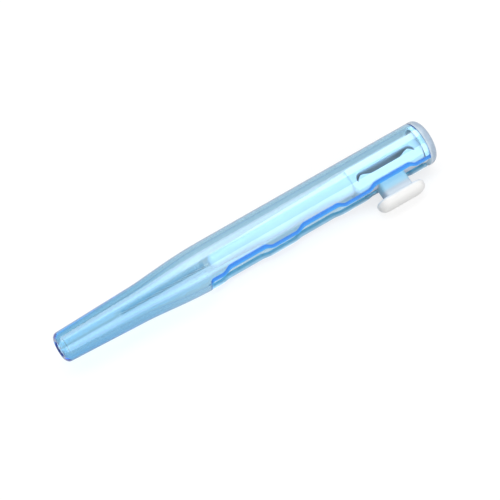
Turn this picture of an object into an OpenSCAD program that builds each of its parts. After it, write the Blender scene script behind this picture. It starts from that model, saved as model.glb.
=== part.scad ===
// Slide-out interdental brush: a clear tapered barrel with a wavy thumb slot, a white
// carrier that slides in it, a thumb button on a springy bridge, and a twisted-wire brush.
// The barrel lies along X with its tip at low X. The origin is the centre of the rear face.

/* [Barrel] */
// Length of the barrel, from its tip to the end plug's flange
barrel_len = 78.1; // [76:0.1:88]
// Outer diameter of the straight body
body_d = 9; // [8.8:0.1:11]
// Wall of the straight body
body_wall = 0.8; // [0.7:0.05:0.9]
// Outer diameter of the tip, before its rounding
tip_d = 5.8; // [5.4:0.1:6.6]
// Outer diameter where the front cone meets the shoulder
neck_d = 7; // [6.8:0.1:8]
// Length of the front cone
neck_len = 16; // [13:0.5:18]
// Length of the curved shoulder behind the front cone
shoulder_len = 16; // [12:0.5:17]
// Rounding of the outer edge of the tip
tip_round_r = 1.1; // [0.5:0.1:1.1]
// Diameter of the hole in the tip
tip_hole_d = 3; // [2.95:0.05:3.3]
// Length of the straight hole in the tip
tip_land = 1.2; // [0.8:0.1:2]
// Rounding of the mouth of the tip hole
hole_round_r = 0.25; // [0.1:0.05:0.4]
// Diameter of the bore where the front cone ends
neck_bore_d = 4.6; // [4.4:0.1:5]

/* [Thumb slot] */
// Number of stops along the slot
stop_count = 3; // [2:1:3]
// Distance between neighbouring stops
stop_pitch = 15.9; // [15:0.1:16.2]
// Width of the slot between the stops
slot_neck_w = 4; // [3.8:0.1:4.3]
// Width of the slot at a stop
slot_lobe_w = 5.3; // [5:0.1:5.6]
// Length of the full-width stretch of a stop
lobe_flat_len = 7.1; // [6.2:0.1:7.4]
// Length of the curve from the neck to the full width
lobe_ramp_len = 2; // [1.6:0.1:2.4]
// Length of the slot in front of the foremost stop's middle
slot_lead = 8.1; // [7.8:0.1:9]
// Rounding of the slot's front corners
slot_corner_r = 0.7; // [0.3:0.1:1.2]

/* [End plug] */
// Thickness of the plug's flange
flange_t = 1.8; // [1.5:0.1:2.2]
// Rounding of the flange's rim
flange_round_r = 1.35; // [0.8:0.05:1.45]
// Length of the collar in the barrel
collar_len = 0.6; // [0.5:0.1:0.7]
// Wall of the collar
collar_wall = 0.45; // [0.3:0.05:0.5]

/* [Carrier] */
// Length of the carrier
carrier_len = 46.2; // [45.9:0.1:46.4]
// Gap between the carrier's rear face and the end plug
carrier_gap = 0.4; // [0.3:0.1:0.5]
// Diameter of the round nose
nose_d = 2.8; // [2.4:0.05:2.85]
// Length of the domed end of the nose
nose_dome_len = 1.3; // [0.8:0.1:1.4]
// Largest diameter of the tapered shaft
shaft_d = 4.7; // [4.5:0.1:5.2]
// Solid length of the head in front of the slit
head_land = 1; // [0.8:0.1:1.2]
// Solid length of the head behind the slit
head_rear_land = 1.65; // [1.5:0.05:1.8]
// Running gap between the head and the bore
head_clearance = 0.2; // [0.15:0.05:0.25]
// Width of the head across its flat sides
head_w = 5.2; // [5:0.1:5.4]
// Height of the head's back above the axis
head_back_h = 1.8; // [1.7:0.1:2.4]
// Bevel at the ends of the head
head_bevel = 0.45; // [0.2:0.05:0.6]

/* [Springy bridge] */
// Length of the bridge
bridge_len = 10.7; // [10.4:0.1:11]
// Thickness of the bridge in its middle
bridge_t = 2.5; // [2.3:0.1:2.7]
// Height of the slit under the bridge
slit_h = 1.2; // [1.1:0.05:1.3]
// How far the hooked ends of the slit run past the bridge
slit_hook_len = 1.1; // [0.8:0.1:1.15]

/* [Button] */
// Length of the cap
cap_len = 10.2; // [9:0.1:12]
// Width of the cap
cap_w = 4.2; // [4:0.1:4.8]
// Thickness of the cap
cap_t = 2.1; // [2.05:0.05:2.4]
// Rounding of the cap's edge on the thumb side
cap_edge_r = 1.4; // [1:0.05:1.4]
// Rounding of the cap's edge on the barrel's side
cap_under_r = 0.6; // [0.3:0.05:0.6]
// Distance from the barrel's axis to the thumb face
cap_face_h = 8.3; // [8.1:0.1:9]
// Length of the stem
stem_len = 5.7; // [5:0.1:5.9]
// Width of the stem
stem_w = 3.4; // [3:0.1:3.5]
// Rounding of the stem's corners
stem_corner_r = 0.6; // [0.3:0.1:0.9]

/* [Brush] */
// Length of wire that stands out of the nose
wire_out_len = 19.2; // [16:0.1:20]
// Length of wire held inside the nose
wire_in_len = 3.6; // [2.5:0.1:6]
// Diameter of one strand of the wire
strand_d = 0.2; // [0.16:0.01:0.22]
// Gap between the two strands, where the bristles are held
strand_gap = 0.06; // [0.05:0.01:0.08]
// Length of wire in one full twist
wire_pitch = 1.44; // [1.2:0.04:1.8]
// Number of bristle rows along the wire, two bristles in each
bristle_rows = 160; // [150:1:200]
// Width of a bristle at its root
bristle_root_w = 0.06; // [0.05:0.005:0.07]
// Width of a bristle at its end
bristle_end_w = 0.03; // [0.02:0.005:0.04]
// Bare wire in front of the bristles
bristle_front_gap = 0.5; // [0.3:0.1:1]
// Bare wire between the bristles and the nose
bristle_rear_gap = 2.4; // [1.5:0.1:4]
// Radius of the brush at its front
brush_front_r = 0.75; // [0.6:0.05:1]
// Radius of the brush at its rear
brush_rear_r = 1.25; // [1:0.05:1.35]

/* [Hidden] */

// How far each cut runs past the face it opens
overrun = 0.5;
// Gap left where a twisted piece lies in a round hole or between the strands
twist_gap = 0.01;
// Gap between the stem's foot and the bridge
foot_gap = 0.02;

// Steps in a rounded edge, in a slot ramp and in the shoulder
ROUND_STEPS = 6;
RAMP_STEPS = 6;
SHOULDER_STEPS = 16;
// Sides of a wire strand and rings in one of its twists
STRAND_SIDES = 6;
TWIST_RINGS = 6;
FOLD_STEPS = 4;

body_r = body_d / 2;
bore_r = body_r - body_wall;
overall_len = barrel_len + flange_t;
slit_half_len = bridge_len / 2 + slit_hook_len;
head_len = head_land + 2 * slit_half_len + head_rear_land;
carrier_rear_z = barrel_len - carrier_gap;
rear_stop_z = carrier_rear_z - head_rear_land - slit_half_len;
front_stop_z = rear_stop_z - (stop_count - 1) * stop_pitch;
slot_front_z = front_stop_z - slot_lead;
nose_z = carrier_rear_z - carrier_len;
head_z = carrier_rear_z - head_len;
head_r = bore_r - head_clearance;
tail_r = bore_r - collar_wall - head_clearance;
tail_z = barrel_len - collar_len - carrier_gap;
bridge_under_h = head_r - bridge_t;
slit_floor_h = bridge_under_h - slit_h;
wire_tip_z = nose_z - wire_out_len;
wire_end_z = nose_z + wire_in_len;
strand_r = strand_d / 2;
strand_c = strand_r + strand_gap / 2;
wire_r = strand_c + strand_r;
brush_z = wire_tip_z + strand_c + bristle_front_gap;
brush_len = nose_z - bristle_rear_gap - brush_z;

// The brush lies on the barrel and on the lower edge of the button's cap
cap_reach_h = cap_face_h - cap_edge_r;
cap_reach_w = cap_w / 2 - cap_edge_r;
rest_roll = asin((body_r - cap_edge_r) / norm([cap_reach_h, cap_reach_w])) - atan2(cap_reach_w, cap_reach_h);

// Places along the carrier's shaft and its radius there, as shares of the shaft's length and growth
shaft_growth_shares = [[0, 0], [0.1, 0.04], [0.36, 0.36], [0.72, 0.64], [0.88, 0.86], [0.96, 0.97], [1, 1]];
// Outline of half the slit from its middle to its hook, as shares of its half length and height
slit_floor_shares = [[0, 0], [0.82, 0], [0.91, 0.18], [0.97, 0.62], [1, 1.22]];
slit_roof_shares = [[0.95, 1.22], [0.91, 0.78], [0.82, 0.46], [0.71, 0.52], [0.57, 0.88], [0.49, 1], [0, 1]];

function smooth(t) = t * t * (3 - 2 * t);
function mix(a, b, t) = a + (b - a) * t;
function cone_r(z, r0, r1) = mix(r0, r1, z / neck_len);

// Radius at a distance from the tip: a cone that blends into the straight body
function flared_r(z, r0, r1, r2) =
    z <= neck_len
        ? cone_r(z, r0, r1)
        : mix(cone_r(z, r0, r1), r2, smooth((z - neck_len) / shoulder_len));
function outer_r(z) = flared_r(z, tip_d / 2, neck_d / 2, body_r);
function inner_r(z) = flared_r(z, tip_hole_d / 2, neck_bore_d / 2, bore_r);

// Points of a quarter circle about a centre
function arc(centre, r, from, to, steps) =
    [for (i = [0:steps]) let (a = mix(from, to, i / steps)) centre + r * [cos(a), sin(a)]];

shoulder_zs = [for (i = [0:SHOULDER_STEPS]) neck_len + shoulder_len * i / SHOULDER_STEPS];

function barrel_outline() = concat(
    arc([tip_hole_d / 2 + hole_round_r, hole_round_r], hole_round_r, 180, 270, ROUND_STEPS),
    arc([outer_r(tip_round_r) - tip_round_r, tip_round_r], tip_round_r, -90, 0, ROUND_STEPS),
    [for (z = shoulder_zs) [outer_r(z), z]],
    [[body_r, barrel_len], [bore_r, barrel_len]],
    [for (i = [SHOULDER_STEPS:-1:0]) [inner_r(shoulder_zs[i]), shoulder_zs[i]]],
    [[inner_r(tip_land), tip_land + (inner_r(tip_land) - tip_hole_d / 2)], [tip_hole_d / 2, tip_land]]
);

// Half of the slot's outline: [distance from the tip, half width]
function ramp(z0, z1, w0, w1) =
    [for (i = [0:RAMP_STEPS]) [mix(z0, z1, i / RAMP_STEPS), mix(w0, w1, smooth(i / RAMP_STEPS))]];
function lobe(z) = concat(
    ramp(z - lobe_flat_len / 2 - lobe_ramp_len, z - lobe_flat_len / 2, slot_neck_w / 2, slot_lobe_w / 2),
    ramp(z + lobe_flat_len / 2, z + lobe_flat_len / 2 + lobe_ramp_len, slot_lobe_w / 2, slot_neck_w / 2)
);
function slot_half() = concat(
    [for (p = arc([slot_front_z + slot_corner_r, slot_neck_w / 2 - slot_corner_r], slot_corner_r, 180, 90, ROUND_STEPS)) p],
    [for (i = [0:stop_count - 1]) each lobe(front_stop_z + i * stop_pitch)],
    [[barrel_len + overrun, slot_neck_w / 2]]
);
function mirrored(points) = [for (i = [len(points) - 1:-1:0]) [points[i][0], -points[i][1]]];

// The slot runs along the axis and opens towards low Y
module slot_cut() {
    half = slot_half();
    rotate([90, 0, 0])
        linear_extrude(body_r + overrun)
            polygon([for (p = concat(half, mirrored(half))) [p[1], p[0]]]);
}

// Lays a piece that was drawn upright on its tip down on its side
module lie_down() {
    rotate([rest_roll, 0, 0])
        translate([-overall_len, 0, 0])
            rotate([0, 90, 0])
                children();
}

module barrel() {
    color([0.45, 0.75, 0.95, 0.6])
        lie_down()
            difference() {
                rotate_extrude($fn = 96)
                    polygon(barrel_outline());
                slot_cut();
            }
}

module end_plug() {
    color([0.86, 0.88, 0.92])
        lie_down()
            translate([0, 0, barrel_len])
                rotate_extrude($fn = 96)
                    polygon(concat(
                        [[0, 0], [bore_r - collar_wall, 0], [bore_r - collar_wall, -collar_len], [bore_r, -collar_len]],
                        [[bore_r, 0], [body_r, 0]],
                        arc([body_r - flange_round_r, flange_t - flange_round_r], flange_round_r, 0, 90, ROUND_STEPS),
                        [[0, flange_t]]
                    ));
}

module nose_and_shaft() {
    nose_r = nose_d / 2;
    shaft_z = nose_z + nose_dome_len;
    dome = [for (i = [0:ROUND_STEPS + 2]) let (a = 90 * i / (ROUND_STEPS + 2))
        [nose_r * sin(a), shaft_z - nose_dome_len * cos(a)]];
    shaft = [for (s = shaft_growth_shares)
        [mix(nose_r, shaft_d / 2, s[1]), mix(shaft_z, head_z, s[0])]];
    rotate_extrude($fn = 96)
        polygon(concat(dome, [for (i = [1:len(shaft) - 1]) shaft[i]],
            [[shaft_d / 2, head_z + head_bevel], [0, head_z + head_bevel]]));
}

// The head fills the bore on the slot side, has flat sides and a narrower tail in the collar
module head_block() {
    intersection() {
        rotate_extrude($fn = 96)
            polygon([
                [0, head_z],
                [head_r - head_bevel, head_z],
                [head_r, head_z + head_bevel],
                [head_r, tail_z],
                [tail_r, tail_z],
                [tail_r, carrier_rear_z - head_bevel],
                [tail_r - head_bevel, carrier_rear_z],
                [0, carrier_rear_z]
            ]);
        translate([-head_w / 2, -body_r, head_z])
            cube([head_w, body_r + head_back_h, head_len]);
    }
}

// The slit that frees the bridge, cut right across the head
module slit_cut() {
    half = [for (s = concat(slit_floor_shares, slit_roof_shares))
        [-slit_floor_h - s[1] * slit_h, s[0] * slit_half_len]];
    translate([-body_r, 0, rear_stop_z])
        rotate([90, 0, 90])
            linear_extrude(body_d)
                polygon(concat(half, [for (i = [len(half) - 2:-1:1]) [half[i][0], -half[i][1]]]));
}

// The space between the slit and the slot that the bridge takes up
module bridge_space() {
    translate([-body_r, -body_r, rear_stop_z - bridge_len / 2])
        cube([body_d, body_r - slit_floor_h - slit_h * slit_roof_shares[2][1], bridge_len]);
}

module carrier() {
    color([0.95, 0.97, 0.98])
        lie_down()
            difference() {
                union() {
                    nose_and_shaft();
                    head_block();
                }
                slit_cut();
                bridge_space();
                translate([0, 0, nose_z - overrun])
                    cylinder(r = wire_r + twist_gap, h = overrun + wire_in_len + twist_gap, $fn = 32);
            }
}

module spring_bridge() {
    color([0.9, 0.94, 0.97])
        lie_down()
            difference() {
                intersection() {
                    head_block();
                    bridge_space();
                }
                slit_cut();
            }
}

// A plate with round corners, square to the thumb's push
module rounded_plate(len_z, w, r) {
    square([w, len_z - 2 * r], center = true);
    square([w - 2 * r, len_z], center = true);
    for (x = [-1, 1], z = [-1, 1])
        translate([x * (w / 2 - r), z * (len_z / 2 - r)])
            circle(r, $fn = 32);
}

module cap_end() {
    cap_r = cap_w / 2;
    rotate_extrude($fn = 32)
        polygon(concat(
            [[0, 0]],
            arc([cap_r - cap_under_r, cap_under_r], cap_under_r, -90, 0, ROUND_STEPS),
            arc([cap_r - cap_edge_r, cap_t - cap_edge_r], cap_edge_r, 0, 90, ROUND_STEPS),
            [[0, cap_t]]
        ));
}

module button() {
    cap_under_h = cap_face_h - cap_t;
    color([0.93, 0.93, 0.94])
        lie_down()
            translate([0, 0, rear_stop_z])
                rotate([90, 0, 0]) {
                    translate([0, 0, cap_under_h])
                        hull()
                            for (z = [-1, 1])
                                translate([0, z * (cap_len - cap_w) / 2, 0])
                                    cap_end();
                    difference() {
                        linear_extrude(cap_under_h + cap_t / 2)
                            rounded_plate(stem_len, stem_w, stem_corner_r);
                        translate([0, -cap_len, 0])
                            rotate([-90, 0, 0])
                                cylinder(r = head_r + foot_gap, h = 2 * cap_len, $fn = 96);
                    }
                }
}

// Direction across the wire at a distance from the tip, from one strand to the other
function twist(z) = 360 * (z - wire_tip_z) / wire_pitch;
function across(z) = [cos(twist(z)), sin(twist(z)), 0];
function along_gap(z) = [-sin(twist(z)), cos(twist(z)), 0];
UP = [0, 0, 1];

// One wire: up one strand, round the fold at the tip and back along the other.
// Each entry is [centre, direction away from the middle of the twist].
fold_z = wire_tip_z + strand_c + strand_r;
twist_rings = round((wire_end_z - fold_z) / wire_pitch * TWIST_RINGS);
wire_route = concat(
    [for (i = [twist_rings:-1:0]) let (z = mix(fold_z, wire_end_z, i / twist_rings))
        [strand_c * across(z) + z * UP, across(z)]],
    [for (i = [1:FOLD_STEPS - 1]) let (a = 180 * i / FOLD_STEPS, d = cos(a) * across(fold_z) - sin(a) * UP)
        [strand_c * d + fold_z * UP, d]],
    [for (i = [0:twist_rings]) let (z = mix(fold_z, wire_end_z, i / twist_rings))
        [-strand_c * across(z) + z * UP, -across(z)]]
);

function unit(v) = v / norm(v);
function heading(route, i) =
    unit(route[min(i + 1, len(route) - 1)][0] - route[max(i - 1, 0)][0]);

// Triangles between rings of points, with both ends closed
function quad(a, b, c, d) = [[a, b, c], [a, c, d]];
function tube_faces(rings, sides) = concat(
    [for (i = [0:rings - 2], j = [0:sides - 1]) let (k = (j + 1) % sides)
        each quad(i * sides + j, (i + 1) * sides + j, (i + 1) * sides + k, i * sides + k)],
    [for (j = [1:sides - 2]) [0, j, j + 1]],
    [for (j = [1:sides - 2]) [(rings - 1) * sides, (rings - 1) * sides + j + 1, (rings - 1) * sides + j]]
);

module wire() {
    points = [for (i = [0:len(wire_route) - 1], j = [0:STRAND_SIDES - 1])
        let (
            out = wire_route[i][1],
            side = unit(cross(heading(wire_route, i), out)),
            a = 360 * j / STRAND_SIDES
        )
        wire_route[i][0] + strand_r * (cos(a) * out + sin(a) * side)];
    color([0.75, 0.76, 0.76])
        lie_down()
            polyhedron(points, tube_faces(len(wire_route), STRAND_SIDES));
}

// The bristles grow from a thin slice that fills the gap between the strands. The slice has a
// ring of four corners at the start and end of each row, and its two narrow sides are drawn out
// into bristles there.
slice_half_t = strand_gap / 2 - twist_gap;
slice_half_w = strand_c;
row_pitch = brush_len / bristle_rows;
SLICE_CORNERS = [[1, 1], [-1, 1], [-1, -1], [1, -1]];
function row_z(row) = brush_z + row * row_pitch;
function slice_point(z, c) =
    c[0] * slice_half_t * across(z) + c[1] * slice_half_w * along_gap(z) + z * UP;
function bristle_end(row, c, up) =
    let (
        z = row_z(row) + bristle_root_w / 2,
        r = mix(brush_front_r, brush_rear_r, row / (bristle_rows - 1))
    )
    c[0] * min(slice_half_t, bristle_end_w / 2) * across(z) + c[1] * r * along_gap(z)
        + (z + up * bristle_end_w / 2) * UP;

// The four root corners of a bristle, in order, as [ring, corner]: low, high, high, low
function root(row, side) = let (r = 8 * row, s = side + 1)
    [r + side, r + 4 + side, r + 4 + s, r + s];
function bristle_faces(row, side, first) = let (b = root(row, side), t = [for (i = [0:3]) first + i])
    concat(
        [for (i = [0:3]) let (j = (i + 1) % 4) each quad(b[i], b[j], t[j], t[i])],
        quad(t[0], t[1], t[2], t[3])
    );

module bristles() {
    ends_at = 8 * bristle_rows;
    points = concat(
        [for (row = [0:bristle_rows - 1], z = [row_z(row), row_z(row) + bristle_root_w], c = SLICE_CORNERS)
            slice_point(z, c)],
        [for (row = [0:bristle_rows - 1], side = [0, 2])
            let (a = SLICE_CORNERS[side], b = SLICE_CORNERS[side + 1])
            each [bristle_end(row, a, -1), bristle_end(row, a, 1), bristle_end(row, b, 1), bristle_end(row, b, -1)]]
    );
    faces = concat(
        [for (row = [0:bristle_rows - 1], side = [0, 2])
            each bristle_faces(row, side, ends_at + 4 * (2 * row + side / 2))],
        [for (row = [0:bristle_rows - 1], j = [1, 3]) let (k = (j + 1) % 4, r = 8 * row)
            each quad(r + j, r + 4 + j, r + 4 + k, r + k)],
        [for (row = [0:bristle_rows - 2], j = [0:3]) let (k = (j + 1) % 4, r = 8 * row + 4)
            each quad(r + j, r + 4 + j, r + 4 + k, r + k)],
        [[0, 1, 2], [0, 2, 3]],
        [let (r = ends_at - 4) each [[r, r + 2, r + 1]]],
        [let (r = ends_at - 4) each [[r, r + 3, r + 2]]]
    );
    color([0.92, 0.96, 0.98])
        lie_down()
            polyhedron(points, faces);
}

barrel();
end_plug();
carrier();
spring_bridge();
button();
wire();
bristles();
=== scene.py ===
import logging
import math
import random
from collections.abc import Callable
from dataclasses import dataclass, field
from enum import Enum

import bpy
from mathutils import Matrix, Vector


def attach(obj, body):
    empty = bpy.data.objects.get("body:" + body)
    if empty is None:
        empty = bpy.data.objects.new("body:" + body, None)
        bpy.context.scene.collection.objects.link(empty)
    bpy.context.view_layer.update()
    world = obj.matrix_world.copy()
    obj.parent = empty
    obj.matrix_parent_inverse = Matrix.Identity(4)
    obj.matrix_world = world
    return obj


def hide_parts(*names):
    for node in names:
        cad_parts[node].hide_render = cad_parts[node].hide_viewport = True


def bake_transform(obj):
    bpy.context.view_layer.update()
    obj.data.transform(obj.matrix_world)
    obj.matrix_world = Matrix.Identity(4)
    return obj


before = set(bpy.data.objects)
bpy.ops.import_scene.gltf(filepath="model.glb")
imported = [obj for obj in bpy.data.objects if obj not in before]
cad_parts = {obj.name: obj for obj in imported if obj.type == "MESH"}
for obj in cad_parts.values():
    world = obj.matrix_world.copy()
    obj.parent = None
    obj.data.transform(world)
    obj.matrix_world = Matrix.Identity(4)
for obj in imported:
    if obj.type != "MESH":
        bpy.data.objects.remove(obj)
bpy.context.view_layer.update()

MM = 0.001
WELD = 0.0005
X_WAY = Vector((1, 0, 0))
Y_WAY = Vector((0, 1, 0))
Z_WAY = Vector((0, 0, 1))
LOG = logging.getLogger("interdental_brush")

Outline = list[tuple[float, float]]
Colour = tuple[float, float, float]


class Body(Enum):
    """The bodies of the frame that pieces ride on."""

    BARREL = "barrel"
    CARRIER = "carrier"
    BUTTON = "button"


# Placing


@dataclass(frozen=True)
class Lay:
    """How a piece that is drawn upright on its tip, in millimetres, lies in the shared frame."""

    overall: float = 79.9
    body_r: float = 4.5
    cap_face_h: float = 8.3
    cap_edge_r: float = 1.4
    cap_w: float = 4.2

    def roll(self) -> float:
        """Returns the angle that the brush rolls to until it rests on the cap's edge."""
        reach_h = self.cap_face_h - self.cap_edge_r
        reach_w = self.cap_w / 2 - self.cap_edge_r
        lean = math.asin((self.body_r - self.cap_edge_r) / math.hypot(reach_h, reach_w))
        return lean - math.atan2(reach_w, reach_h)

    def button_way(self) -> Vector:
        """Returns the direction in the frame that the button points in."""
        return Vector((0.0, -math.cos(self.roll()), -math.sin(self.roll())))

    def matrix(self) -> Matrix:
        """Returns the matrix from the upright drawing in millimetres to the frame in metres."""
        turned = Matrix.Rotation(math.pi / 2, 4, "Y")
        moved = Matrix.Translation((-self.overall, 0.0, 0.0))
        rolled = Matrix.Rotation(self.roll(), 4, "X")
        return Matrix.Scale(MM, 4) @ rolled @ moved @ turned


LAY = Lay()


# Work at the bench


def clear_selection() -> None:
    """Deselects everything and leaves edit mode."""
    if bpy.context.object and bpy.context.object.mode != "OBJECT":
        bpy.ops.object.mode_set(mode="OBJECT")
    bpy.ops.object.select_all(action="DESELECT")


def take(piece: bpy.types.Object) -> None:
    """Makes one piece the only selected one.

    Args:
        piece: The piece to work on.
    """
    clear_selection()
    bpy.context.view_layer.objects.active = piece
    piece.select_set(True)


def named(piece: bpy.types.Object, name: str) -> bpy.types.Object:
    """Gives a piece and its mesh the same name.

    Args:
        piece: The piece.
        name: Its new name.

    Returns:
        The same piece.
    """
    piece.name = name
    piece.data.name = name
    return piece


def placed(name: str, data: bpy.types.ID, at: Vector = Vector(),
           axes: tuple[Vector, ...] = (X_WAY, Y_WAY, Z_WAY)) -> bpy.types.Object:
    """Adds an object to the scene.

    Args:
        name: The name of the new object.
        data: Its curve, camera or light.
        at: Where it stands.
        axes: The directions of its own X, Y and Z.

    Returns:
        The new object.
    """
    made = bpy.data.objects.new(name, data)
    made.matrix_world = Matrix.Translation(at) @ Matrix(axes).transposed().to_4x4()
    bpy.context.scene.collection.objects.link(made)
    return made


def edit_edges(piece: bpy.types.Object, wanted: Callable[[bpy.types.MeshEdge], bool]) -> None:
    """Opens edit mode on a piece with only the wanted edges selected.

    Args:
        piece: The piece to edit.
        wanted: Tells whether an edge is to be selected.
    """
    take(piece)
    bpy.ops.object.mode_set(mode="EDIT")
    bpy.ops.mesh.select_mode(type="EDGE")
    bpy.ops.mesh.select_all(action="DESELECT")
    bpy.ops.object.mode_set(mode="OBJECT")
    for edge in piece.data.edges:
        edge.select = wanted(edge)
    bpy.ops.object.mode_set(mode="EDIT")


def outline_ring(name: str, points: Outline, closed: bool = True) -> bpy.types.Object:
    """Places the corners of a circle on an outline in the XZ plane.

    Args:
        name: The name of the new object.
        points: Distance from the axis and height of each corner.
        closed: False leaves out the edge from the last corner to the first.

    Returns:
        The new wire outline.
    """
    clear_selection()
    bpy.ops.mesh.primitive_circle_add(vertices=len(points), radius=1.0, fill_type="NOTHING")
    ring = named(bpy.context.object, name)
    for corner, (r, z) in zip(ring.data.vertices, points):
        corner.co = (r, 0.0, z)
    if not closed:
        edit_edges(ring, lambda edge: set(edge.vertices) == {0, len(points) - 1})
        bpy.ops.mesh.delete(type="EDGE")
        bpy.ops.object.mode_set(mode="OBJECT")
    return ring


def spun(name: str, points: Outline, steps: int, closed: bool = True) -> bpy.types.Object:
    """Spins an outline round the Z axis.

    Args:
        name: The name of the new object.
        points: Distance from the axis and height of each corner.
        steps: Segments in the full turn.
        closed: False where the outline starts and ends on the axis.

    Returns:
        The closed round solid.
    """
    piece = outline_ring(name, points, closed)
    take(piece)
    bpy.ops.object.mode_set(mode="EDIT")
    bpy.ops.mesh.select_all(action="SELECT")
    bpy.ops.mesh.spin(steps=steps, angle=2 * math.pi, center=(0, 0, 0), axis=(0, 0, 1))
    bpy.ops.mesh.select_all(action="SELECT")
    bpy.ops.mesh.remove_doubles(threshold=WELD)
    bpy.ops.mesh.delete_loose()
    bpy.ops.mesh.select_all(action="SELECT")
    bpy.ops.mesh.normals_make_consistent(inside=False)
    bpy.ops.object.mode_set(mode="OBJECT")
    return piece


def drawn_out(name: str, points: Outline, start: Vector, along: Vector,
              right: Vector, up: Vector) -> bpy.types.Object:
    """Extrudes a flat outline into a prism.

    Args:
        name: The name of the new object.
        points: The outline, in the plane of right and up.
        start: Where the outline's own origin lies.
        along: How far and where the outline is drawn out.
        right: Direction of the outline's first number.
        up: Direction of the outline's second number.

    Returns:
        The closed prism.
    """
    clear_selection()
    bpy.ops.mesh.primitive_circle_add(vertices=len(points), radius=1.0, fill_type="NGON")
    piece = named(bpy.context.object, name)
    for corner, (a, b) in zip(piece.data.vertices, points):
        corner.co = start + a * right + b * up
    bpy.ops.object.mode_set(mode="EDIT")
    bpy.ops.mesh.select_all(action="SELECT")
    bpy.ops.mesh.extrude_region_move(TRANSFORM_OT_translate={"value": along})
    bpy.ops.mesh.select_all(action="SELECT")
    bpy.ops.mesh.normals_make_consistent(inside=False)
    bpy.ops.object.mode_set(mode="OBJECT")
    return piece


def apply_modifier(piece: bpy.types.Object, kind: str, **settings: object) -> None:
    """Adds a modifier, sets it and applies it.

    Args:
        piece: The piece that gets the modifier.
        kind: Blender's name for the modifier.
        settings: The modifier's settings by name.
    """
    take(piece)
    modifier = piece.modifiers.new(kind.lower(), kind)
    for key, value in settings.items():
        setattr(modifier, key, value)
    bpy.ops.object.modifier_apply(modifier=modifier.name)


def combine(piece: bpy.types.Object, tool: bpy.types.Object, how: str) -> None:
    """Changes a piece by DIFFERENCE, UNION or INTERSECT with another solid, which is used up."""
    apply_modifier(piece, "BOOLEAN", operation=how, solver="EXACT", object=tool)
    bpy.data.objects.remove(tool, do_unlink=True)


def block(name: str, low: Vector, high: Vector) -> bpy.types.Object:
    """Adds a plain block that other pieces are cut with.

    Args:
        name: The name of the new object.
        low: Its lowest corner.
        high: Its highest corner.

    Returns:
        The block.
    """
    clear_selection()
    bpy.ops.mesh.primitive_cube_add(size=1.0, location=(low + high) / 2, scale=high - low)
    bpy.ops.object.transform_apply(location=True, rotation=True, scale=True)
    return named(bpy.context.object, name)


def copy_of(piece: bpy.types.Object, name: str) -> bpy.types.Object:
    """Copies a piece together with its mesh.

    Args:
        piece: The piece to copy.
        name: The name of the copy.

    Returns:
        The copy, with a mesh of its own.
    """
    take(piece)
    bpy.ops.object.duplicate()
    return named(bpy.context.object, name)


def soften(piece: bpy.types.Object, cell: float, rounds: int) -> None:
    """Gives a piece soft edges: a new mesh of even cells, smoothed for some rounds."""
    apply_modifier(piece, "REMESH", mode="VOXEL", voxel_size=cell, adaptivity=0.0)
    apply_modifier(piece, "SMOOTH", factor=0.5, iterations=rounds)


def smooth_by(piece: bpy.types.Object, degrees: float) -> None:
    """Shades a piece smooth, apart from edges sharper than an angle in degrees."""
    take(piece)
    bpy.ops.object.shade_smooth_by_angle(angle=math.radians(degrees))


def lay_down(piece: bpy.types.Object) -> None:
    """Lays an upright piece down in the frame and leaves its object at the origin.

    Args:
        piece: The finished upright piece.
    """
    take(piece)
    piece.matrix_world = LAY.matrix()
    bpy.ops.object.transform_apply(location=True, rotation=True, scale=True)


# Curves of the outlines


def mix(a: float, b: float, t: float) -> float:
    """Returns the value at share t of the way from a to b."""
    return a + (b - a) * t


def smooth(t: float) -> float:
    """Returns t eased in and out."""
    return t * t * (3 - 2 * t)


def shares(steps: int) -> list[float]:
    """Returns the shares from 0 to 1 in equal steps."""
    return [i / steps for i in range(steps + 1)]


def arc(centre: tuple[float, float], radius: float, start: float, end: float, steps: int) -> Outline:
    """Returns points on an arc.

    Args:
        centre: The arc's centre.
        radius: The arc's radius.
        start: Start angle in degrees.
        end: End angle in degrees.
        steps: Number of steps.
    """
    turns = [math.radians(mix(start, end, t)) for t in shares(steps)]
    return [(centre[0] + radius * math.cos(a), centre[1] + radius * math.sin(a)) for a in turns]


def through(points: Outline, t: float) -> float:
    """Returns the height of the line through points, at the place t.

    Args:
        points: Places and heights, in order of place.
        t: The place, between the first and the last.
    """
    for (t0, v0), (t1, v1) in zip(points, points[1:]):
        if t <= t1:
            return mix(v0, v1, (t - t0) / (t1 - t0))
    return points[-1][1]


# Finishes


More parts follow.
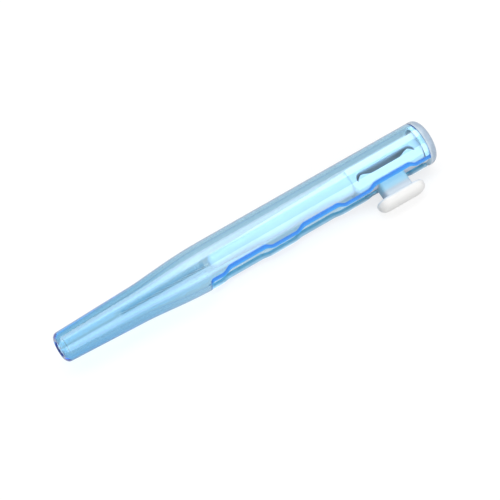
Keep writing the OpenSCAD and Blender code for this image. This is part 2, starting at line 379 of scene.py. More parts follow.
@dataclass
class Nodes:
    """Adds and joins shader nodes in the tree of a material, a group or the world."""

    tree: bpy.types.NodeTree

    @classmethod
    def within(cls, owner: bpy.types.Material | bpy.types.World) -> "Nodes":
        """Empties the tree of a new material or world and starts on it.

        Args:
            owner: The material or world.

        Returns:
            The helper for its tree.
        """
        owner.use_nodes = True
        owner.node_tree.nodes.clear()
        return cls(owner.node_tree)

    def add(self, kind: str, **values: object) -> bpy.types.Node:
        """Adds a node.

        Args:
            kind: Blender's name for the node.
            values: Its inputs by name, with _ for a space, and in small letters its properties.

        Returns:
            The new node.
        """
        node = self.tree.nodes.new(kind)
        for key, value in values.items():
            if key.islower():
                setattr(node, key, value)
            else:
                self.feed(value, node.inputs[key.replace("_", " ")])
        return node

    def feed(self, value: object, socket: bpy.types.NodeSocket) -> None:
        """Joins an output to an input, or sets the input to a plain value.

        Args:
            value: An output, a number or a colour.
            socket: The input.
        """
        if isinstance(value, bpy.types.NodeSocket):
            self.tree.links.new(value, socket)
        else:
            socket.default_value = value

    def calc(self, kind: str, *values: object, clamp: bool = False) -> bpy.types.NodeSocket:
        """Adds a Math node.

        Args:
            kind: The operation.
            values: Two or three numbers or outputs, in the node's order.
            clamp: True keeps the result between 0 and 1.

        Returns:
            The result's socket.
        """
        node = self.add("ShaderNodeMath", operation=kind, use_clamp=clamp)
        for socket, value in zip(node.inputs, values):
            self.feed(value, socket)
        return node.outputs[0]

    def ranged(self, value: object, low: float, high: float) -> bpy.types.NodeSocket:
        """Returns a value mapped to 0 at low and to 1 at high."""
        node = self.add("ShaderNodeMapRange", Value=value, From_Min=low, From_Max=high)
        return node.outputs["Result"]

    def mixed(self, share: bpy.types.NodeSocket, first: object, second: object) -> bpy.types.NodeSocket:
        """Mixes two colours.

        Args:
            share: The second colour's share.
            first: A colour or an output.
            second: A colour or an output.

        Returns:
            The mixed colour's socket.
        """
        node = self.add("ShaderNodeMix", data_type="RGBA")
        self.feed(share, node.inputs[0])
        for socket, value in zip(node.inputs[6:8], (first, second)):
            self.feed((*value, 1.0) if isinstance(value, tuple) else value, socket)
        return node.outputs[2]

    def place(self) -> bpy.types.NodeSocket:
        """Returns the Object coordinates."""
        return self.add("ShaderNodeTexCoord").outputs["Object"]


class MouldedSkin:
    """The fine unevenness of moulded plastic, shared by all the plastic finishes."""

    NAME = "moulded skin"
    CLOUD_SCALE = 260.0
    RIPPLE_DEPTH = 0.0004
    GRAIN_DEPTH = 0.00004

    @classmethod
    def group(cls) -> bpy.types.NodeTree:
        """Returns the node group, built on its first use."""
        found = bpy.data.node_groups.get(cls.NAME)
        if found:
            return found
        tree = bpy.data.node_groups.new(cls.NAME, "ShaderNodeTree")
        for name, value in (
            ("Colour", (0.9, 0.9, 0.9, 1.0)), ("Cloud", 0.04), ("Roughness", 0.4), ("Spread", 0.08),
            ("Grain scale", 9000.0), ("Grain", 0.1), ("Ripple scale", 400.0), ("Ripple", 0.1),
        ):
            kind = "NodeSocketColor" if name == "Colour" else "NodeSocketFloat"
            socket = tree.interface.new_socket(name, in_out="INPUT", socket_type=kind)
            socket.default_value = value
        for name, kind in (("Colour", "Color"), ("Roughness", "Float"), ("Normal", "Vector")):
            tree.interface.new_socket(name, in_out="OUTPUT", socket_type="NodeSocket" + kind)
        n = Nodes(tree)
        given = n.add("NodeGroupInput").outputs
        place = n.place()
        cloud = n.add("ShaderNodeTexNoise", Vector=place, Scale=cls.CLOUD_SCALE, Detail=3.0, Roughness=0.55)
        grain = n.add("ShaderNodeTexNoise", Vector=place, Scale=given["Grain scale"], Detail=2.0)
        ripple = n.add("ShaderNodeTexNoise", Vector=place, Scale=given["Ripple scale"], Detail=1.0)
        shift = n.calc("SUBTRACT", cloud.outputs["Fac"], 0.5)
        value = n.calc("MULTIPLY_ADD", shift, given["Cloud"], 1.0)
        tone = n.add("ShaderNodeHueSaturation", Color=given["Colour"], Value=value)
        rough = n.calc("MULTIPLY", shift, given["Spread"])
        rough = n.calc("ADD", rough, given["Roughness"], clamp=True)
        low = n.add("ShaderNodeBump", Strength=given["Ripple"], Distance=cls.RIPPLE_DEPTH,
                    Height=ripple.outputs["Fac"])
        high = n.add("ShaderNodeBump", Strength=given["Grain"], Distance=cls.GRAIN_DEPTH,
                     Height=grain.outputs["Fac"], Normal=low.outputs["Normal"])
        n.add("NodeGroupOutput", Colour=tone.outputs["Color"], Roughness=rough,
              Normal=high.outputs["Normal"])
        return tree


@dataclass(frozen=True)
class Finish:
    """A look that pieces share, with its material's name and its slot in the record."""

    name: str
    slot: str
    colour: Colour
    roughness: float

    def build(self, n: Nodes) -> None:
        """Builds the material's nodes in its empty tree."""
        raise NotImplementedError

    def material(self) -> bpy.types.Material:
        """Returns the material, built on its first use."""
        made = bpy.data.materials.get(self.name)
        if not made:
            made = bpy.data.materials.new(self.name)
            self.build(Nodes.within(made))
        return made


@dataclass(frozen=True)
class Plastic(Finish):
    """A moulded plastic: its colour, its skin and how much light goes through it."""

    cloud: float = 0.04
    spread: float = 0.08
    grain: float = 0.1
    ripple: float = 0.05
    ripple_scale: float = 400.0
    clear: float = 0.0
    ior: float = 1.49
    soft: float = 0.0
    soft_reach: float = 0.0008
    depth_colour: Colour = (1.0, 1.0, 1.0)
    depth: float = 0.0
    light_through: Colour | None = None
    deep: float = 3.5
    coat: float = 0.0
    coat_roughness: float = 0.03

    def tone(self, n: Nodes, plain: bpy.types.NodeSocket) -> bpy.types.NodeSocket:
        """Returns the colour for the shader, here the moulded skin's own."""
        return plain

    def build(self, n: Nodes) -> None:
        """Builds the material's nodes.

        Args:
            n: The material's empty tree.
        """
        skin = n.add("ShaderNodeGroup", node_tree=MouldedSkin.group(), Colour=(*self.colour, 1.0),
                     Cloud=self.cloud, Roughness=self.roughness, Spread=self.spread,
                     Grain=self.grain, Ripple=self.ripple, Ripple_scale=self.ripple_scale)
        shader = n.add("ShaderNodeBsdfPrincipled", Base_Color=self.tone(n, skin.outputs["Colour"]),
                       Roughness=skin.outputs["Roughness"], Normal=skin.outputs["Normal"],
                       IOR=self.ior, Transmission_Weight=self.clear, Coat_Weight=self.coat,
                       Coat_Roughness=self.coat_roughness, Subsurface_Weight=self.soft,
                       Subsurface_Radius=(1.0, 1.0, 1.0), Subsurface_Scale=self.soft_reach)
        surface = shader.outputs["BSDF"]
        if self.light_through:
            path = n.add("ShaderNodeLightPath").outputs
            far = n.calc("GREATER_THAN", path["Ray Depth"], self.deep)
            straight = n.calc("MAXIMUM", path["Is Shadow Ray"], far)
            window = n.add("ShaderNodeBsdfTransparent", Color=(*self.light_through, 1.0))
            both = n.add("ShaderNodeMixShader", Fac=straight)
            n.feed(surface, both.inputs[1])
            n.feed(window.outputs["BSDF"], both.inputs[2])
            surface = both.outputs["Shader"]
        out = n.add("ShaderNodeOutputMaterial", Surface=surface)
        if self.depth:
            inside = n.add("ShaderNodeVolumeAbsorption", Color=(*self.depth_colour, 1.0),
                           Density=self.depth)
            n.feed(inside.outputs["Volume"], out.inputs["Volume"])


@dataclass(frozen=True)
class ClearWall(Plastic):
    """Clear plastic with a painted shade of deeper blue where it is seen edge on."""

    # rim is the colour of the painted shade along the outline, faded in between the two facing values.
    rim: Colour = (0.3, 0.4, 0.9)
    rim_shade_from: float = 0.6
    rim_shade_to: float = 1.0

    def tone(self, n: Nodes, plain: bpy.types.NodeSocket) -> bpy.types.NodeSocket:
        """Returns the moulded skin's colour with the painted shade, deeper blue towards grazing angles."""
        facing = n.add("ShaderNodeLayerWeight", Blend=0.5).outputs["Facing"]
        return n.mixed(n.ranged(facing, self.rim_shade_from, self.rim_shade_to), plain, self.rim)


@dataclass(frozen=True)
class PaintedGlowEdge(Plastic):
    """The cut edge of a clear wall, with painted glow: deep blue where it is seen through the wall, and a
    painted pale highlight at its outer corner.
    """

    # Painted glow, seen through the wall: inner_glow towards the bore, outer_glow towards the outside.
    # outer is the painted pale highlight of the outer corner, seen directly.
    inner_glow: Colour = (0.01, 0.3, 0.85)
    outer_glow: Colour = (0.04, 0.5, 1.0)
    outer: Colour = (0.42, 0.67, 0.84)
    corner_r: float = 0.0042
    blur: float = 0.0002

    def tone(self, n: Nodes, plain: bpy.types.NodeSocket) -> bpy.types.NodeSocket:
        """Returns the painted glow of the edge, from its inner to its outer corner, with the painted pale
        highlight on the outer corner where the face is seen directly.

        Args:
            n: The material's tree.
            plain: The moulded skin's colour.
        """
        across = n.add("ShaderNodeMapping", Vector=n.place(), Scale=(0.0, 1.0, 1.0))
        radius = n.add("ShaderNodeVectorMath", operation="LENGTH")
        n.feed(across.outputs["Vector"], radius.inputs[0])
        share = n.ranged(radius.outputs["Value"], self.corner_r - self.blur, self.corner_r + self.blur)
        seen = n.mixed(share, plain, self.outer)
        back = n.add("ShaderNodeNewGeometry").outputs["Backfacing"]
        # Where the face is seen from inside the wall it shows the painted glow.
        glow_through_wall = n.mixed(share, self.inner_glow, self.outer_glow)
        return n.mixed(back, seen, glow_through_wall)


@dataclass(frozen=True)
class PaintedLightPlastic(Plastic):
    """Plastic with painted light and shade in bands along one direction, fading into its plain colour."""

    # along, start and end set the way over which the painted light and shade fade out; each stop gives
    # where a painted colour starts, as a share of that way.
    along: Colour = (1.0, 0.0, 0.0)
    start: float = 0.0
    end: float = 0.001
    stops: tuple[tuple[float, Colour], ...] = ()

    def tone(self, n: Nodes, plain: bpy.types.NodeSocket) -> bpy.types.NodeSocket:
        """Returns the colour, from the painted light and shade at the start to the plain colour at the end.

        Args:
            n: The material's tree.
            plain: The moulded skin's colour.
        """
        reach = n.add("ShaderNodeVectorMath", operation="DOT_PRODUCT")
        n.feed(n.place(), reach.inputs[0])
        n.feed(self.along, reach.inputs[1])
        share = n.ranged(reach.outputs["Value"], self.start, self.end)
        ends = [at for at, _ in self.stops[1:]] + [1.0]
        colour = plain
        for (at, painted_colour), end in reversed(list(zip(self.stops, ends))):
            colour = n.mixed(n.ranged(share, at, end), painted_colour, colour)
        return colour


@dataclass(frozen=True)
class DrawnWire(Finish):
    """Drawn stainless wire, with fine lines along it."""

    name: str = "drawn_steel"
    slot: str = "wire_steel"
    colour: Colour = (0.96, 0.95, 0.93)
    roughness: float = 0.4
    line_scale: float = 1500.0
    line_shade: float = 0.82
    line_rough: float = 0.14
    line_depth: float = 0.00002

    def build(self, n: Nodes) -> None:
        """Builds the material's nodes.

        Args:
            n: The material's empty tree.
        """
        drawn = n.add("ShaderNodeMapping", Vector=n.place(), Scale=(1.0, 12.0, 12.0))
        noise = n.add("ShaderNodeTexNoise", Vector=drawn.outputs["Vector"], Scale=self.line_scale,
                      Detail=2.0)
        lines = noise.outputs["Fac"]
        ramp = n.add("ShaderNodeValToRGB", Fac=lines)
        for stop, at, shade in zip(ramp.color_ramp.elements, (0.3, 0.7), (self.line_shade, 1.0)):
            stop.position = at
            stop.color = (*(shade * c for c in self.colour), 1.0)
        rough = n.calc("MULTIPLY_ADD", lines, self.line_rough, self.roughness - self.line_rough / 2)
        bump = n.add("ShaderNodeBump", Strength=0.15, Distance=self.line_depth, Height=lines)
        shader = n.add("ShaderNodeBsdfPrincipled", Base_Color=ramp.outputs["Color"],
                       Roughness=rough, Metallic=1.0, Normal=bump.outputs["Normal"])
        n.add("ShaderNodeOutputMaterial", Surface=shader.outputs["BSDF"])


# The barrel's clear blue wall; ClearWall paints a deeper blue shade along its outline.
CLEAR_BLUE = ClearWall("clear_blue_plastic", "clear_plastic", (0.95, 0.98, 1.0), 0.03, cloud=0.0,
                       spread=0.02, grain=0.0, ripple=0.02, ripple_scale=160.0, clear=1.0, ior=1.5,
                       depth_colour=(0.17, 0.725, 0.95), depth=480.0, light_through=(0.96, 0.985, 1.0),
                       coat=1.0)
# The slot's cut edge: painted edge glow and a painted pale highlight on the outer corner.
EDGE_GLOW = PaintedGlowEdge("painted_edge_glow", "clear_plastic", (0.07, 0.28, 0.46), 0.22, spread=0.05,
                    clear=0.15, ior=1.5, light_through=(0.5, 0.8, 1.0))
# The collar and the front of the flange are painted paler, a painted light on the collar that lies in
# shade; it fades into the plug's own milky colour towards the rear.
MILKY = PaintedLightPlastic("milky_plastic", "plug_plastic", (0.45, 0.56, 0.69), 0.28, cloud=0.05,
                    soft=0.4, coat=0.3, start=-0.0019, end=-0.0013,
                    stops=((0.0, (0.8, 0.89, 0.94)),))
CARRIER_WHITE = Plastic("carrier_white_plastic", "carrier_plastic", (0.62, 0.67, 0.76), 0.36,
                        cloud=0.05, grain=0.2, ripple=0.08, soft=0.15)
# The stem is painted from its root out, 4.8 to 6.8 mm from the axis along the button: a painted blue light
# from the clear wall at the root, then painted grey-blue shade, fading into the cap's own white.
BUTTON_WHITE = PaintedLightPlastic("button_white_plastic", "button_plastic", (0.92, 0.92, 0.91), 0.44,
                           grain=0.35, ripple=0.1, soft=0.12, along=tuple(LAY.button_way()),
                           start=0.0048, end=0.0068,
                           stops=((0.0, (0.4, 0.68, 0.84)), (0.3, (0.52, 0.62, 0.72)),
                                  (0.7, (0.68, 0.77, 0.86))))
NYLON = Plastic("fine_nylon", "bristle_nylon", (0.18, 0.45, 0.62), 0.4, cloud=0.03, grain=0.0,
                ripple=0.0, clear=0.1, ior=1.53)


def dress(piece: bpy.types.Object, finish: Finish) -> None:
    """Gives a piece its material.

    Args:
        piece: The piece.
        finish: Its finish.
    """
    piece.data.materials.clear()
    piece.data.materials.append(finish.material())


def hand_over(piece: bpy.types.Object, finish: Finish, body: Body, *nodes: str) -> None:
    """Lays a piece down, dresses it and lets it ride and stand for its nodes.

    Args:
        piece: The finished upright piece.
        finish: Its finish.
        body: The body it moves with.
        nodes: The CAD nodes it stands for.
    """
    lay_down(piece)
    dress(piece, finish)
    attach(piece, body.value)
    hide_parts(*nodes)
    LOG.info("%s rides on %s, %d faces", piece.name, body.value, len(piece.data.polygons))


# Sub-assemblies


@dataclass
class Barrel:
    """The clear tapered barrel with its bore, tip hole and wavy thumb slot."""

    length: float = 78.1
    body_r: float = 4.5
    bore_r: float = 3.7
    tip_r: float = 2.9
    neck_r: float = 3.5
    neck_len: float = 16.0
    shoulder_len: float = 16.0
    tip_round: float = 1.1
    hole_r: float = 1.5
    hole_round: float = 0.25
    tip_land: float = 1.2
    neck_bore_r: float = 2.3
    slot_front: float = 29.7
    stops: tuple[float, ...] = (37.8, 53.7, 69.6)
    neck_half: float = 2.0
    lobe_half: float = 2.65
    lobe_flat: float = 7.1
    lobe_ramp: float = 2.0
    corner_r: float = 0.7
    edge_round: float = 0.12
    segments: int = 192
    cone_rings: range = range(4, 14, 3)
    rear_rings: range = range(35, 76, 4)
    blend_steps: int = 40
    ramp_steps: int = 14

    def flared(self, z: float, front: float, neck: float, body: float) -> float:
        """Returns a radius: a cone that blends into the straight body.

        Args:
            z: Distance from the tip.
            front: Radius at the tip.
            neck: Radius where the cone ends.
            body: Radius of the straight body.
        """
        cone = mix(front, neck, z / self.neck_len)
        if z <= self.neck_len:
            return cone
        return mix(cone, body, smooth(min(1.0, (z - self.neck_len) / self.shoulder_len)))

    def outline(self) -> Outline:
        """Returns the outline of the wall, from the tip hole round to the bore."""
        blend = [self.neck_len + self.shoulder_len * t for t in shares(self.blend_steps)]
        zs = [*self.cone_rings, *blend, *self.rear_rings]

        def outer(z: float) -> tuple[float, float]:
            """Returns the point of the outside at a distance from the tip."""
            return self.flared(z, self.tip_r, self.neck_r, self.body_r), z

        def inner(z: float) -> tuple[float, float]:
            """Returns the point of the bore at a distance from the tip."""
            return self.flared(z, self.hole_r, self.neck_bore_r, self.bore_r), z

        edge = self.edge_round
        mouth = arc((self.hole_r + self.hole_round, self.hole_round), self.hole_round, 180, 270, 6)
        rim_r = outer(self.tip_round)[0] - self.tip_round
        rim = arc((rim_r, self.tip_round), self.tip_round, -90, 0, 14)
        outside = [outer(z) for z in zs]
        rear = arc((self.body_r - edge, self.length - edge), edge, 0, 90, 3)
        rear += [(self.bore_r + edge, self.length), (self.bore_r, self.length - edge)]
        inside = [inner(z) for z in reversed(zs)]
        land_r = inner(self.tip_land)[0]
        land = [(land_r, self.tip_land + land_r - self.hole_r), (self.hole_r, self.tip_land)]
        return mouth + rim + outside + rear + inside + land

    def slot_half(self) -> Outline:
        """Returns half of the slot's outline: distance from the tip and half width."""
        points = arc((self.slot_front + self.corner_r, self.neck_half - self.corner_r),
                     self.corner_r, 180, 90, 8)
        half = self.lobe_flat / 2
        for stop in self.stops:
            for z0, z1, w0, w1 in (
                (stop - half - self.lobe_ramp, stop - half, self.neck_half, self.lobe_half),
                (stop + half, stop + half + self.lobe_ramp, self.lobe_half, self.neck_half),
            ):
                points += [(mix(z0, z1, t), mix(w0, w1, smooth(t))) for t in shares(self.ramp_steps)]
        points.append((self.length + 1.0, self.neck_half))
        return points

    def cut_faces(self, shell: bpy.types.Object) -> list[int]:
        """Returns the faces of the slot's edge, which get the painted edge glow.

        Args:
            shell: The upright barrel with its slot.
        """
        near = 0.1
        rim = 0.3
        lowest = -2.0
        upright = 0.02
        found = []
        for face in shell.data.polygons:
            x, y, z = face.center
            beside = self.neck_half - near < abs(x) < self.lobe_half + near
            at_end = abs(z - self.slot_front) < self.corner_r and abs(x) < self.neck_half
            along = self.slot_front - near < z < self.length - rim
            if along and (beside or at_end) and y < lowest and abs(face.normal.y) < upright:
                found.append(face.index)
        return found

    def make(self) -> None:
        """Builds the barrel and hands it over."""
        shell = spun("barrel_shell", self.outline(), self.segments)
        half = self.slot_half()
        whole = half + [(z, -w) for z, w in reversed(half)]
        cutter = drawn_out("slot_cutter", [(w, z) for z, w in whole], Vector(),
                           Vector((0, -self.body_r - 1.0, 0)), X_WAY, Z_WAY)
        combine(shell, cutter, "DIFFERENCE")
        smooth_by(shell, 30)
        cut = self.cut_faces(shell)
        hand_over(shell, CLEAR_BLUE, Body.BARREL, "barrel")
        # The cut faces get the painted edge glow as a second material.
        shell.data.materials.append(EDGE_GLOW.material())
        for index in cut:
            shell.data.polygons[index].material_index = 1


@dataclass
class EndPlug:
    """The milky plug that closes the rear of the barrel."""

    z: float = 78.1
    body_r: float = 4.5
    bore_r: float = 3.7
    flange_t: float = 1.8
    rim_r: float = 1.35
    collar_len: float = 0.85
    collar_wall: float = 0.45
    seam: float = 0.03
    collar_bevel: float = 0.1
    flange_bevel: float = 0.08
    gate_r: float = 0.55
    gate_depth: float = 0.12
    gate_slope: float = 0.14

    def outline(self) -> Outline:
        """Returns the plug's outline from the axis on its front face to the axis on its rear face."""
        collar_r = self.bore_r - self.seam
        inner_r = collar_r - self.collar_wall
        tip = self.z - self.collar_len
        front = self.z + self.seam
        rear = self.z + self.flange_t
        bevel = self.collar_bevel
        points = [
            (0.0, front), (inner_r, front), (inner_r, tip + bevel), (inner_r + bevel, tip),
            (collar_r - bevel, tip), (collar_r, tip + bevel), (collar_r, front),
            (self.body_r - self.flange_bevel, front), (self.body_r, front + self.flange_bevel)]
        points += arc((self.body_r - self.rim_r, rear - self.rim_r), self.rim_r, 0, 90, 14)
        return points + [
            (self.gate_r + self.gate_slope, rear), (self.gate_r, rear - self.gate_depth * 0.3),
            (self.gate_r - self.gate_slope, rear - self.gate_depth), (0.0, rear - self.gate_depth)]

    def make(self) -> None:
        """Builds the plug and hands it over."""
        plug = spun("rear_plug", self.outline(), 128, closed=False)
        smooth_by(plug, 40)
        hand_over(plug, MILKY, Body.BARREL, "end_plug")


@dataclass
class Carrier:
    """The white carrier: round nose, tapered shaft, and a head with a springy bridge over a slit."""

    nose_z: float = 31.5
    rear_z: float = 77.7
    nose_r: float = 1.4
    dome: float = 1.3
    shaft_r: float = 2.35
    head_z: float = 62.15
    stop_z: float = 69.6
    head_r: float = 3.5
    head_half_w: float = 2.6
    head_back: float = 1.8
    bevel: float = 0.45
    tail_z: float = 77.1
    tail_r: float = 3.05
    bridge_len: float = 10.7
    hook_len: float = 1.1
    slit_floor: float = -0.2
    slit_h: float = 1.2
    stem_half: float = 2.85
    bridge_under: float = 0.46
    room: float = 5.0
    dome_steps: int = 12
    shaft_steps: int = 32
    cell: float = 0.11
    soft_rounds: int = 6
    growth: Outline = field(default_factory=lambda: [
        (0.0, 0.0), (0.1, 0.04), (0.36, 0.36), (0.72, 0.64), (0.88, 0.86), (0.96, 0.97), (1.0, 1.0)])
    floor_shares: Outline = field(default_factory=lambda: [
        (0.0, 0.0), (0.82, 0.0), (0.91, 0.18), (0.97, 0.62), (1.0, 1.22)])
    roof_shares: Outline = field(default_factory=lambda: [
        (0.95, 1.22), (0.91, 0.78), (0.82, 0.46), (0.71, 0.52), (0.57, 0.88), (0.49, 1.0), (0.0, 1.0)])

    def shaft_outline(self) -> Outline:
        """Returns the outline of the nose and the shaft, up to inside the head."""
        start = self.nose_z + self.dome
        turns = [math.pi / 2 * i / self.dome_steps for i in range(self.dome_steps + 1)]
        points = [(self.nose_r * math.sin(a), start - self.dome * math.cos(a)) for a in turns]
        points += [(mix(self.nose_r, self.shaft_r, through(self.growth, t)), mix(start, self.head_z, t))
                   for t in shares(self.shaft_steps)[1:]]
        end = self.head_z + self.bevel
        return points + [(self.shaft_r, end), (0.0, end)]

    def head_outline(self) -> Outline:
        """Returns the outline of the round stock that the head is cut from."""
        return [
            (0.0, self.head_z), (self.head_r - self.bevel, self.head_z),
            (self.head_r, self.head_z + self.bevel), (self.head_r, self.tail_z),
            (self.tail_r, self.tail_z), (self.tail_r, self.rear_z - self.bevel),
            (self.tail_r - self.bevel, self.rear_z), (0.0, self.rear_z)]

    def slit_outline(self) -> Outline:
        """Returns the slit's outline: place along the carrier and height over the axis."""
        half_len = self.bridge_len / 2 + self.hook_len
        half = [(s * half_len, -self.slit_floor - h * self.slit_h)
                for s, h in self.floor_shares + self.roof_shares]
        return half + [(-z, h) for z, h in reversed(half[1:-1])]

    def make(self) -> None:
        """Builds the carrier and the two halves of its bridge, and hands the carrier over; the halves are
        laid down and dressed.
        """
        whole = spun("slide_carrier", self.shaft_outline(), 96, closed=False)
        head = spun("head_stock", self.head_outline(), 128, closed=False)
        room = block("head_room", Vector((-self.head_half_w, -self.room, self.head_z - 1)),
                     Vector((self.head_half_w, self.head_back, self.rear_z + 1)))
        combine(head, room, "INTERSECT")
        combine(whole, head, "UNION")
        slit = drawn_out("slit_cutter", self.slit_outline(), Vector((-self.room, 0, self.stop_z)),
                         2 * self.room * X_WAY, Z_WAY, Y_WAY)
        combine(whole, slit, "DIFFERENCE")
        soften(whole, self.cell, self.soft_rounds)
        self.part_bridge(whole)
        smooth_by(whole, 40)
        hand_over(whole, CARRIER_WHITE, Body.CARRIER, "carrier")

    def part_bridge(self, whole: bpy.types.Object) -> None:
        """Parts the bridge from the carrier, in two halves.

        Args:
            whole: The carrier with its bridge; it keeps the rest.
        """
        top = -self.slit_floor - self.slit_h * self.bridge_under
        half = self.bridge_len / 2

        def room(low: float, high: float) -> bpy.types.Object:
            """Returns a block round the bridge between two distances from the tip."""
            return block("bridge_room", Vector((-self.room, -self.room, low)),
                         Vector((self.room, top, high)))

        for name, way in (("bridge_front", -1), ("bridge_rear", 1)):
            root = self.stop_z + way * half
            part = copy_of(whole, name)
            combine(part, room(min(root, self.stop_z), max(root, self.stop_z)), "INTERSECT")
            smooth_by(part, 40)
            lay_down(part)
            dress(part, CARRIER_WHITE)
            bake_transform(part)
            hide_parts("spring_bridge")
            LOG.info("%s bends between carrier and button, %d faces", name, len(part.data.polygons))
        combine(whole, room(self.stop_z - half, self.stop_z + half), "DIFFERENCE")


@dataclass
class ThumbButton:
    """The thumb button: a rounded cap on a stem."""

    z: float = 69.6
    cap_len: float = 10.2
    cap_w: float = 4.2
    cap_t: float = 2.1
    edge_r: float = 1.4
    under_r: float = 0.6
    face_h: float = 8.3
    stem_len: float = 5.7
    stem_w: float = 3.4
    corner_r: float = 0.6
    foot_r: float = 3.52
    cell: float = 0.075
    soft_rounds: int = 5

    def stadium(self) -> Outline:
        """Returns the cap's outline: across the slot and along it."""
        r = self.cap_w / 2
        reach = self.cap_len / 2 - r
        return arc((0.0, reach), r, 0, 180, 24) + arc((0.0, -reach), r, 180, 360, 24)

    def stem_outline(self) -> Outline:
        """Returns the stem's outline: across the slot and along it."""
        w = self.stem_w / 2 - self.corner_r
        h = self.stem_len / 2 - self.corner_r
        points: Outline = []
        for x, z, turn in ((w, h, 0), (-w, h, 90), (-w, -h, 180), (w, -h, 270)):
            points += arc((x, z), self.corner_r, turn, turn + 90, 6)
        return points

    def round_rim(self, cap: bpy.types.Object, height: float, radius: float) -> None:
        """Bevels one rim of the cap.

        Args:
            cap: The cap.
            height: The rim's place along Y.
            radius: The rounding's radius.
        """
        edit_edges(cap, lambda edge: all(
            abs(cap.data.vertices[i].co.y - height) < WELD for i in edge.vertices))
        bpy.ops.mesh.bevel(offset=radius, segments=8, affect="EDGES")
        bpy.ops.object.mode_set(mode="OBJECT")

    def make(self) -> None:
        """Builds the button and hands it over."""
        under = self.face_h - self.cap_t
        cap = drawn_out("thumb_button", self.stadium(), Vector((0, -under, self.z)),
                        Vector((0, -self.cap_t, 0)), X_WAY, Z_WAY)
        self.round_rim(cap, -self.face_h, self.edge_r)
        self.round_rim(cap, -under, self.under_r)
        stem = drawn_out("stem", self.stem_outline(), Vector((0, 0, self.z)),
                         Vector((0, -under - self.cap_t / 2, 0)), X_WAY, Z_WAY)
        combine(cap, stem, "UNION")
        clear_selection()
        bpy.ops.mesh.primitive_cylinder_add(vertices=128, radius=self.foot_r, depth=20.0,
                                            location=(0, 0, self.z))
        combine(cap, bpy.context.object, "DIFFERENCE")
        soften(cap, self.cell, self.soft_rounds)
        smooth_by(cap, 40)
        hand_over(cap, BUTTON_WHITE, Body.BUTTON, "button")


@dataclass
class TwistedBrush:
    """The folded and twisted wire, and the fine bristles that it holds."""

    tip_z: float = 12.3
    nose_z: float = 31.5
    inside: float = 3.4
    strand_r: float = 0.1
    gap: float = 0.06
    pitch: float = 0.92
    steps: int = 20
    rows: int = 320
    front_gap: float = 0.65
    rear_gap: float = 0.8
    front_r: float = 0.75
    rear_r: float = 1.25
    bristle_r: float = 0.032
    tip_share: float = 0.6
    lean: tuple[float, float] = (-0.06, 0.04)
    fan: float = 0.1
    shortest: float = 0.93
    seed: int = 11

    def across(self, z: float) -> Vector:
        """Returns the direction from one strand to the other at a height."""
        turn = 2 * math.pi * (z - self.tip_z) / self.pitch
        return Vector((math.cos(turn), math.sin(turn), 0))

    def route(self) -> list[Vector]:
        """Returns the wire's middle line: up one strand, round the fold and back."""
        centre = self.strand_r + self.gap / 2
        fold = self.tip_z + centre + self.strand_r
        end = self.nose_z + self.inside
        count = round((end - fold) / self.pitch * self.steps)
        zs = [mix(fold, end, t) for t in shares(count)]
        points = [centre * self.across(z) + z * Z_WAY for z in reversed(zs)]
        for t in shares(8)[1:-1]:
            a = math.pi * t
            points.append(centre * (math.cos(a) * self.across(fold) - math.sin(a) * Z_WAY) + fold * Z_WAY)
        points += [-centre * self.across(z) + z * Z_WAY for z in zs]
        return points

    def make_wire(self) -> None:
        """Builds the wire and hands it over."""
        line = bpy.data.curves.new("twisted_wire", "CURVE")
        line.dimensions = "3D"
        line.bevel_depth = self.strand_r
        line.bevel_resolution = 3
        line.use_fill_caps = True
        spline = line.splines.new("POLY")
        points = self.route()
        spline.points.add(len(points) - 1)
        for corner, place in zip(spline.points, points):
            corner.co = (*place, 1.0)
        take(placed("twisted_wire", line))
        bpy.ops.object.convert(target="MESH")
        wire = bpy.context.object
        smooth_by(wire, 60)
        hand_over(wire, DrawnWire(), Body.CARRIER, "wire")

    def make_bristles(self) -> None:
        """Builds one bristle, copies it along the twist and hands the brush over."""
        chance = random.Random(self.seed)
        clear_selection()
        bpy.ops.mesh.primitive_cone_add(vertices=4, radius1=self.bristle_r, depth=1.0,
                                        radius2=self.bristle_r * self.tip_share, location=(0, 0, 0.5))
        model = bpy.context.object
        bpy.ops.object.transform_apply(location=True, rotation=True, scale=True)
        start = self.tip_z + self.front_gap
        length = self.nose_z - self.rear_gap - start
        pieces = []
        for row in range(self.rows):
            z = start + length * (row + chance.uniform(0.2, 0.8)) / self.rows
            out = Z_WAY.cross(self.across(z))
            reach = mix(self.front_r, self.rear_r, row / (self.rows - 1))
            for side in (-1, 1):
                lean = chance.uniform(*self.lean) * Z_WAY
                fan = self.across(z) * chance.uniform(-self.fan, self.fan)
                way = (side * out + lean + fan).normalized()
                size = reach * chance.uniform(self.shortest, 1.0)
                turn = way.to_track_quat("Z", "Y").to_matrix().to_4x4()
                twin = model.copy()
                twin.data = model.data.copy()
                twin.data.transform(Matrix.Translation((0, 0, z)) @ turn @ Matrix.Diagonal((1, 1, size, 1)))
                bpy.context.scene.collection.objects.link(twin)
                pieces.append(twin)
        bpy.data.objects.remove(model, do_unlink=True)
        clear_selection()
        for piece in pieces:
            piece.select_set(True)
        bpy.context.view_layer.objects.active = pieces[0]
        bpy.ops.object.join()
        brush = named(bpy.context.object, "brush_bristles")
        smooth_by(brush, 60)
        hand_over(brush, NYLON, Body.CARRIER, "bristles")

    def make(self) -> None:
        """Builds the wire and its bristles."""
        self.make_wire()
        self.make_bristles()


# Studio


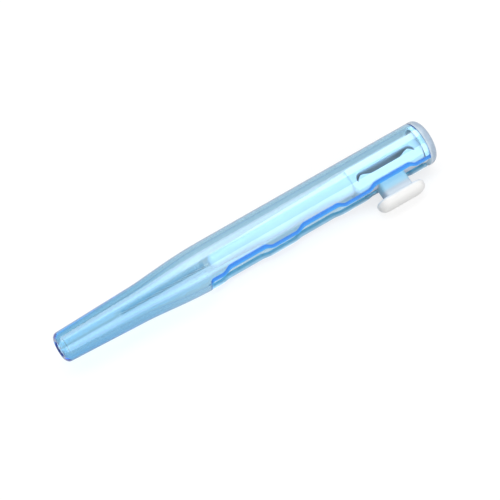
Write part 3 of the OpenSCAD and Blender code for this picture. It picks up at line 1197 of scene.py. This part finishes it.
@dataclass
class Studio:
    """The camera, the pale floor, the lamps and the white surroundings."""

    distance: float = 0.4
    lens: float = 157.4
    tilt: float = 15.0
    button_turn: float = 15.0
    rise: float = 29.8
    middle: Vector = field(default_factory=lambda: Vector((-0.03995, 0, 0)))
    shift_right: float = -3.0
    shift_up: float = 8.0
    px_per_m: float = 5467.0
    floor_z: float = -0.0045
    floor_gap: float = 0.00001
    floor_size: float = 3.0
    ambient: float = 0.25
    floor_glow: float = 0.55
    floor_bounce: float = 0.2
    seen_through: float = 0.6
    seen_in_gloss: float = 0.3

    def camera(self) -> None:
        """Sets the camera at the photograph's angle."""
        button = LAY.button_way()
        side = button.cross(X_WAY)
        tilt = math.radians(self.tilt)
        turn = math.radians(self.button_turn)
        back = -math.sin(tilt) * X_WAY + math.cos(tilt) * (math.sin(turn) * button + math.cos(turn) * side)
        p = (X_WAY - X_WAY.dot(back) * back).normalized()
        q = back.cross(p)
        rise = math.radians(self.rise)
        right = math.cos(rise) * p - math.sin(rise) * q
        up = math.sin(rise) * p + math.cos(rise) * q
        aim = self.middle - (self.shift_right * right + self.shift_up * up) / self.px_per_m
        lens = bpy.data.cameras.new("camera")
        lens.lens = self.lens
        lens.sensor_width = 36.0
        lens.clip_start = 0.01
        camera = placed("camera", lens, aim + self.distance * back, (right, up, back))
        bpy.context.scene.camera = camera

    def shown(self, n: Nodes, more: float, least: float) -> bpy.types.NodeSocket:
        """Returns a brightness that is higher for the rays that show the background.

        Args:
            n: The tree to build in.
            more: What is added where the camera sees the background.
            least: The brightness for all other rays.
        """
        path = n.add("ShaderNodeLightPath").outputs
        through = n.calc("MULTIPLY", path["Is Transmission Ray"], self.seen_through)
        gloss = n.calc("MULTIPLY", path["Is Glossy Ray"], self.seen_in_gloss)
        seen = n.calc("MAXIMUM", path["Is Camera Ray"], n.calc("MAXIMUM", through, gloss))
        return n.calc("MULTIPLY_ADD", seen, more, least)

    def world(self) -> None:
        """Makes the surroundings white for the camera, gloss and glass, and plain for the rest."""
        world = bpy.data.worlds.new("studio")
        n = Nodes.within(world)
        strength = self.shown(n, 1.0 - self.ambient, self.ambient)
        sky = n.add("ShaderNodeBackground", Color=(1.0, 1.0, 1.0, 1.0), Strength=strength)
        n.add("ShaderNodeOutputWorld", Surface=sky.outputs["Background"])
        bpy.context.scene.world = world

    def floor(self) -> None:
        """Lays a pale floor that keeps the brush's shadow."""
        clear_selection()
        bpy.ops.mesh.primitive_plane_add(size=self.floor_size,
                                         location=(self.middle.x, 0, self.floor_z - self.floor_gap))
        floor = named(bpy.context.object, "floor")
        bpy.ops.object.transform_apply(location=True, rotation=True, scale=True)
        paper = bpy.data.materials.new("floor_paper")
        n = Nodes.within(paper)
        sheet = n.add("ShaderNodeBsdfPrincipled", Base_Color=(0.3, 0.3, 0.3, 1.0), Roughness=0.9,
                      Specular_IOR_Level=0.1, Emission_Color=(1.0, 1.0, 1.0, 1.0),
                      Emission_Strength=self.shown(n, self.floor_glow, self.floor_bounce))
        n.add("ShaderNodeOutputMaterial", Surface=sheet.outputs["BSDF"])
        floor.data.materials.append(paper)

    def lamp(self, name: str, place: Vector, size: tuple[float, float], power: float) -> None:
        """Hangs a soft rectangular lamp that faces the brush.

        Args:
            name: The lamp's name.
            place: Where it hangs.
            size: Its length along the barrel and its width.
            power: Its power in watts.
        """
        light = bpy.data.lights.new(name, "AREA")
        light.shape = "RECTANGLE"
        light.size, light.size_y = size
        light.energy = power
        out = (place - self.middle).normalized()
        long_way = (X_WAY - X_WAY.dot(out) * out).normalized()
        placed(name, light, place, (long_way, out.cross(long_way), out))

    def make(self) -> None:
        """Sets up the whole studio."""
        bpy.context.scene.view_settings.view_transform = "Standard"
        self.camera()
        self.world()
        self.floor()
        self.lamp("top_box", Vector((0.0, 0.2, 0.56)), (1.2, 0.42), 3.5)
        self.lamp("front_box", Vector((0.0, -0.56, 0.18)), (1.2, 0.6), 3.6)


def main() -> None:
    """Builds the sub-assemblies in order, then the studio."""
    logging.basicConfig(level=logging.INFO, format="%(name)s: %(message)s")
    Studio().make()
    for assembly in (Barrel(), EndPlug(), Carrier(), ThumbButton(), TwistedBrush()):
        LOG.info("making %s", type(assembly).__name__)
        assembly.make()
    clear_selection()


if __name__ == "__main__":
    main()
